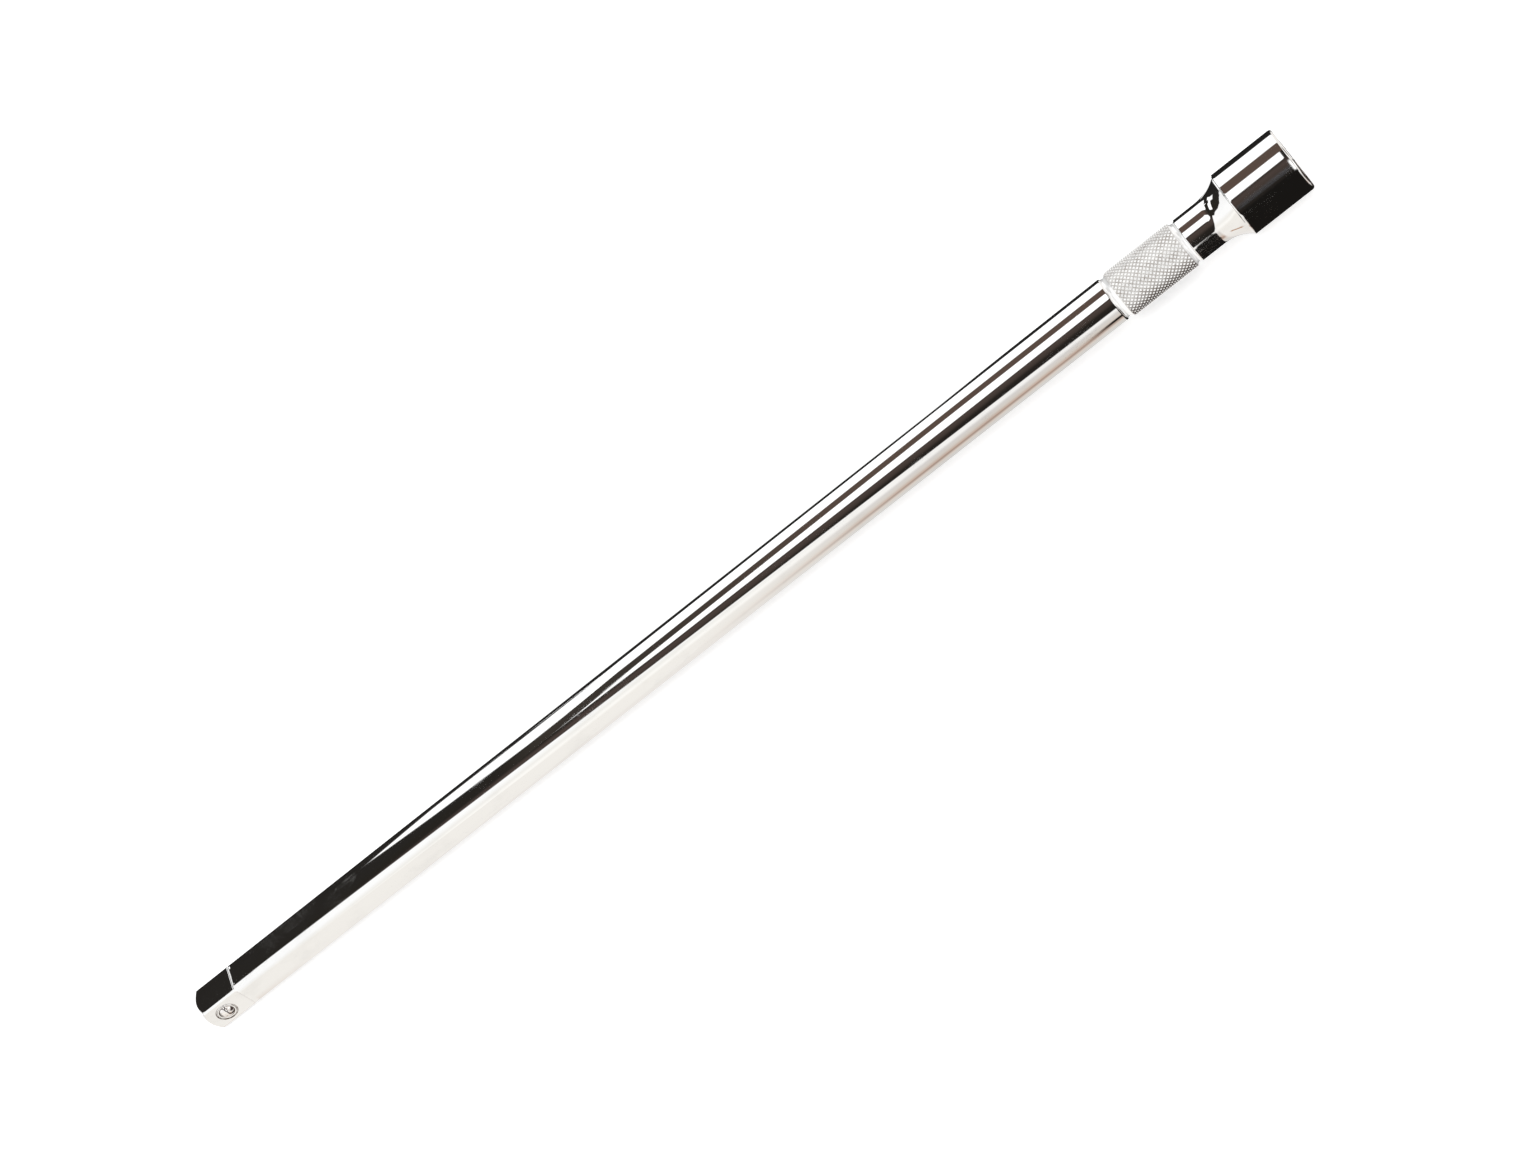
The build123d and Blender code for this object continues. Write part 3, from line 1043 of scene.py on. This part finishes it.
# Edges of what the chrome mirrors, set so that its bands fall where the photo's do. They
# are (side, turn) pairs in order of side, where side is the direction's X and turn
# is the angle about the bar's axis in degrees, from the front above (0) towards the floor in
# front (positive) or over the top towards the back (negative).
PANEL_TOP = [
    (-0.5, -104), (-0.4, -112), (-0.243, -118), (-0.13, -124), (-0.045, -124), (-0.025, -119.5),
    (0.2, -119.5),
]
PANEL_BOTTOM = [
    (-0.52, -44), (-0.44, -47), (-0.39, -52), (-0.275, -68), (-0.2555, -64), (-0.24, -66),
    (-0.13, -73), (0.2, -73),
]
SLIT_TOP = [
    (-0.36, -91.5), (-0.345, -91.8), (-0.3365, -92.4), (-0.3215, -93.4), (-0.3065, -93.2),
    (-0.2885, -92.7), (-0.262, -92.4), (-0.255, -98),
]
SLIT_BOTTOM = [
    (-0.36, -93.5), (-0.345, -92.4), (-0.3365, -91.4), (-0.3215, -89.8), (-0.3065, -88.8),
    (-0.2885, -87.7), (-0.270, -87.2), (-0.262, -83),
]
STRIP_TOP = [(-0.29, -18), (-0.278, -23), (-0.262, -25.5), (-0.247, -36), (-0.13, -45), (0.0, -41)]
STRIP_BOTTOM = [
    (-0.29, -30), (-0.278, -25), (-0.262, -22.5), (-0.247, -19), (-0.2347, -15.5), (-0.13, -11),
    (-0.08, -13), (0.0, -17),
]
SHEET_TOP = [
    (-1, -120), (-0.82, -87), (-0.80, -52), (-0.69, -33), (-0.54, -27), (-0.45, -16), (-0.372, -20),
    (-0.3085, -3), (-0.241, 15), (-0.13, 35), (-0.08, 41), (-0.05, 45), (0.1, 45),
]
ROOM_TOP = [(-0.075, 56), (-0.050, 54), (-0.043, 42), (-0.034, 34), (0.1, 34)]
BACK_WALL = [
    (-1, 0), (-0.9, -60), (-0.83, -85), (-0.78, -105), (-0.70, -122), (-0.566, -135), (-0.45, -147),
    (-0.41, -152), (-0.395, -178), (-0.32, -178), (-0.3065, -166), (-0.2885, -159), (-0.262, -154),
    (-0.13, -147), (-0.10, -178), (0.1, -178),
]
SEAM = [(-0.65, 113), (-0.60, 111), (-0.45, 99.5), (-0.12, 93)]


def make_surroundings():
    """Even white for lighting the floor, and softboxes and dark cards for the chrome to mirror."""
    world = bpy.data.worlds.new("studio")
    bpy.context.scene.world = world
    world.use_nodes = True
    nodes = Nodes(world.node_tree)
    coordinates = nodes.add("ShaderNodeTexCoord")
    parts = nodes.add("ShaderNodeSeparateXYZ")
    nodes.link(coordinates.outputs["Generated"], parts.inputs[0])
    side, y, z = parts.outputs
    forward = nodes.math("SUBTRACT", z, y)
    down = nodes.math("MULTIPLY", nodes.math("ADD", z, y), -1.0)
    turn = nodes.math("DEGREES", nodes.math("ARCTAN2", down, forward))

    def below(edge, soft):
        """1 where the turn is past the edge that the pairs give for this side."""
        limit = nodes.lookup(side, edge)
        return nodes.ramp_up(nodes.math("SUBTRACT", turn, limit), -soft, soft)

    def past(value, edge, soft):
        return nodes.ramp_up(value, edge - soft, edge + soft)

    def between(value, low, high, soft):
        return both(past(value, low, soft), no(past(value, high, soft)))

    def both(a, b):
        return nodes.math("MULTIPLY", a, b)

    def no(a):
        return nodes.math("SUBTRACT", 1.0, a)

    def spot(side_middle, turn_middle, radius):
        """A round light, with the turn counted as one side unit for every 100 degrees."""
        a = nodes.math("SUBTRACT", side, side_middle)
        b = nodes.math("MULTIPLY", nodes.math("SUBTRACT", turn, turn_middle), 0.01)
        square = nodes.math("ADD", nodes.math("MULTIPLY", a, a), nodes.math("MULTIPLY", b, b))
        return nodes.ramp_up(nodes.math("SQRT", square), radius, radius * 0.6)

    # Dark cards and a brown one between the two softboxes
    dark = nodes.gradient(turn, [
        (-180, (0.012,) * 3), (-90, (0.022, 0.020, 0.018)), (-75, (0.022, 0.020, 0.016)),
        (-20, (0.022, 0.019, 0.016)), (-5, (0.075, 0.055, 0.048)), (8, (0.060, 0.045, 0.038)),
        (20, (0.022, 0.018, 0.015)), (60, (0.010,) * 3), (180, (0.010,) * 3),
    ])
    brown = nodes.mix(past(side, -0.2, 0.06), (0.045, 0.038, 0.032, 1), (0.11, 0.075, 0.06, 1))
    brown_card = both(both(below(PANEL_BOTTOM, 1), no(below(STRIP_TOP, 1))), past(side, -0.285, 0.01))
    colour = nodes.mix(brown_card, dark, brown)

    # Panel softbox, with a dark gap and a slit of light in it, and strip softbox
    panel = both(below(PANEL_TOP, 1.5), no(below(PANEL_BOTTOM, 1.5)))
    panel = both(panel, past(side, -0.51, 0.01))
    gap = both(between(turn, -98, -83, 1.0), between(side, -0.44, -0.262, 0.006))
    card = both(between(turn, -132, -40, 1.0), between(side, -0.40, -0.28, 0.006))
    gap = nodes.math("MAXIMUM", gap, card)
    slit = both(below(SLIT_TOP, 0.3), no(below(SLIT_BOTTOM, 0.3)))
    colour = nodes.mix(both(panel, no(both(gap, no(slit)))), colour, WHITE)
    strip = both(below(STRIP_TOP, 1.5), no(below(STRIP_BOTTOM, 1.5)))
    strip = both(strip, no(past(side, 0.012, 0.012)))
    window = both(between(turn, -2, 34, 6), between(side, 0.03, 0.22, 0.02))
    colour = nodes.mix(nodes.math("MAXIMUM", strip, window), colour, WHITE)

    # Pale wall behind, and its nearer corner beyond the drive end
    corner = both(between(turn, -104, -86, 2.0), between(side, -0.60, -0.44, 0.02))
    colour = nodes.mix(no(below(BACK_WALL, 4.0)), colour, WALL_WHITE)
    colour = nodes.mix(corner, colour, WALL_WHITE)

    # Speckled grey streak painted into the surroundings: a painted reflection along the dark lower
    # half of the head
    mirrored_streak = nodes.noise(nodes.stretched((1500, 90, 90)), 1.0, detail=3.0)
    streak_directions = both(between(turn, 10, 24, 4), between(side, -0.033, 0.02, 0.005))
    mirrored_streak = both(nodes.ramp_up(mirrored_streak, 0.42, 0.7), streak_directions)
    colour = nodes.mix(mirrored_streak, colour, (0.13, 0.135, 0.15, 1))

    # The pale sheet below and in front, brighter towards the drive end
    near = nodes.gradient(turn, [
        (-180, (0.55,) * 3), (-20, (1.15,) * 3), (20, (1.12,) * 3), (36, (1.02, 1.0, 0.98)),
        (50, (1.02, 1.0, 0.98)), (62, (0.75, 0.72, 0.70)), (80, (0.72, 0.66, 0.60)),
        (94, (0.62, 0.47, 0.39)), (100, (0.42, 0.30, 0.24)), (106, (0.50, 0.40, 0.35)),
        (116, (0.78, 0.68, 0.60)), (124, (0.74, 0.70, 0.66)), (180, (0.70, 0.70, 0.69)),
    ])
    far = nodes.gradient(turn, [
        (-180, (0.9,) * 3), (-25, (1.10,) * 3), (10, (1.10,) * 3), (30, (0.98, 0.96, 0.92)),
        (44, (1.10, 1.08, 1.04)), (56, (0.98, 0.95, 0.90)), (90, (0.975, 0.945, 0.90)),
        (140, (0.90, 0.86, 0.82)), (180, (0.94, 0.93, 0.92)),
    ])
    sheet = nodes.mix(past(side, -0.19, 0.05), far, near)
    from_seam = nodes.math("ABSOLUTE", nodes.math("SUBTRACT", turn, nodes.lookup(side, SEAM)))
    seam = both(nodes.ramp_up(from_seam, 6.0, 2.0), between(side, -0.66, -0.40, 0.04))
    sheet = nodes.mix(seam, sheet, (0.50, 0.30, 0.20, 1))
    colour = nodes.mix(below(SHEET_TOP, 2.0), colour, sheet)

    # Dark room beyond the head end, low down
    near_head = no(past(side, 0.12, 0.03))
    room = both(below(ROOM_TOP, 4), past(side, -0.068, 0.005))
    room_corner = both(between(turn, 86, 100, 3), past(side, -0.084, 0.006))
    dark_room = both(nodes.math("MAXIMUM", room, room_corner), near_head)
    below_mouth = both(past(turn, 112, 6), between(side, 0.05, 0.35, 0.05))
    dark_room = nodes.math("MAXIMUM", dark_room, below_mouth)
    colour = nodes.mix(both(dark_room, no(window)), colour, BLACK)

    # A pale wall with dark parts and two lamps beyond the head end, for the ball and the end edge
    low_dark = both(past(turn, 66, 14), past(side, 0.50, 0.12))
    low_dark = nodes.math("MAXIMUM", low_dark, past(turn, 135, 12))
    wall = nodes.mix(low_dark, (0.98, 0.95, 0.92, 1), (0.06, 0.045, 0.04, 1))
    wall = nodes.mix(spot(0.42, 8, 0.13), wall, (0.16, 0.13, 0.12, 1))
    wall = nodes.mix(spot(0.92, -50, 0.30), wall, (0.16, 0.13, 0.12, 1))
    lamps = nodes.math("MAXIMUM", spot(0.36, -27, 0.17), spot(0.82, 26, 0.2))
    wall = nodes.mix(lamps, wall, WHITE)
    colour = nodes.mix(past(side, 0.30, 0.08), colour, wall)

    # Dark cards far to the drive side, which outline the bar when it is seen from its head
    outline = nodes.ramp_up(nodes.math("ABSOLUTE", turn), 118, 128)
    colour = nodes.mix(both(outline, no(past(side, -0.80, 0.02))), colour, BLACK)

    mirrored = nodes.add("ShaderNodeBackground")
    nodes.link(colour, mirrored.inputs["Color"])
    soft = nodes.add("ShaderNodeBackground")
    soft.inputs["Color"].default_value = (1, 1, 1, 1)
    soft.inputs["Strength"].default_value = EVEN_LIGHT
    path = nodes.add("ShaderNodeLightPath")
    blend = nodes.add("ShaderNodeMixShader")
    nodes.link(path.outputs["Is Glossy Ray"], blend.inputs[0])
    nodes.link(soft.outputs[0], blend.inputs[1])
    nodes.link(mirrored.outputs[0], blend.inputs[2])
    output = nodes.add("ShaderNodeOutputWorld")
    nodes.link(blend.outputs[0], output.inputs["Surface"])


make_surroundings()


# In metres and watts
LAMP_PLACE = Vector((0.0, -0.6, 2.0))
LAMP_AIM = Vector((0.25, 0, 0))
LAMP_SIZE = 1.6
LAMP_POWER = 14


def make_lamp():
    data = bpy.data.lights.new("softbox", "AREA")
    data.shape = "SQUARE"
    data.size = LAMP_SIZE
    data.energy = LAMP_POWER
    lamp = bpy.data.objects.new("softbox", data)
    facing = (LAMP_AIM - LAMP_PLACE).to_track_quat("-Z", "Y").to_matrix().to_4x4()
    lamp.matrix_world = Matrix.Translation(LAMP_PLACE) @ facing
    lamp.visible_glossy = False
    bpy.context.scene.collection.objects.link(lamp)


make_lamp()

bpy.context.scene.view_settings.view_transform = "Standard"
